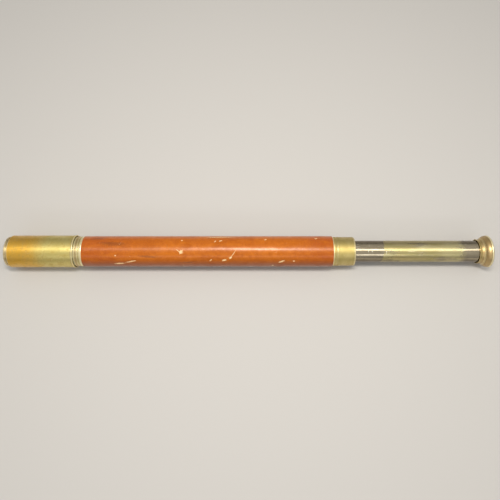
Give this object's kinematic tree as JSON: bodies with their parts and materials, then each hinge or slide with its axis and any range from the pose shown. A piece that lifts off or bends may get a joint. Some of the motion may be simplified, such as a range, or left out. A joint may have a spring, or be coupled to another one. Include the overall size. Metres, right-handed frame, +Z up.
{
  "type": "hand telescope",
  "caption": "Leather-covered brass hand telescope with a single draw pulled out, a sliding sunshade over the objective and a flared, dished eyepiece.",
  "frame": {"origin": "on the surface that the telescope lies on, below the middle of its length as it is posed", "axes": "+X along the optical axis towards the eyepiece, the objective looks along -X; +Z up; the optical axis is 23.2 mm above the origin"},
  "size_m": [0.6886, 0.0464, 0.0464],
  "materials": {
    "brass": "aged polish with fine turning lines",
    "bronzed_brass": "darker lacquered brass, worn bright on its edges",
    "dull_brass": "unpolished, inside the tubes",
    "blackened_brass": "flat black",
    "worn_nickel": "nickel plating worn through to brass",
    "steel": "small slotted screws",
    "tan_leather": "smooth tan hide with scuffs",
    "felt": "dark felt",
    "glass": "polished"
  },
  "bodies": {
    "barrel": {"body_tube": "brass", "leather_cover": "tan_leather", "front_collar": "brass", "collar_screw_1": "steel", "collar_screw_2": "steel", "collar_screw_3": "steel", "rear_collar": "brass", "guide_sleeve": "brass", "barrel_baffle": "blackened_brass", "objective_cell": "brass", "objective_crown_lens": "glass", "objective_flint_lens": "glass", "objective_retaining_ring": "blackened_brass"},
    "sunshade": {"shade_tube": "brass", "shade_ring": "brass", "shade_lining": "felt"},
    "draw": {"draw_tube": "worn_nickel", "draw_stop_ring": "brass", "erector_mount_ring": "brass", "erector_tube": "brass", "erector_stop": "blackened_brass", "erector_front_cell": "dull_brass", "erector_front_lens": "glass", "erector_front_lens_ring": "dull_brass", "erector_rear_cell": "dull_brass", "erector_rear_lens": "glass", "erector_rear_lens_ring": "dull_brass", "eyepiece_tube": "dull_brass", "field_cell": "dull_brass", "field_lens": "glass", "field_lens_ring": "dull_brass", "field_stop": "blackened_brass", "eye_cell": "dull_brass", "eye_lens": "glass", "eye_lens_ring": "dull_brass", "eyepiece_bell": "bronzed_brass", "eye_cap": "bronzed_brass"}
  },
  "joints": [
    {"name": "draw_slide", "type": "slide", "parent": "barrel", "child": "draw", "axis": [1, 0, 0], "range_m": [-0.1757, 0.0102]},
    {"name": "shade_slide", "type": "slide", "parent": "barrel", "child": "sunshade", "axis": [-1, 0, 0], "range_m": [0, 0.06062]}
  ]
}
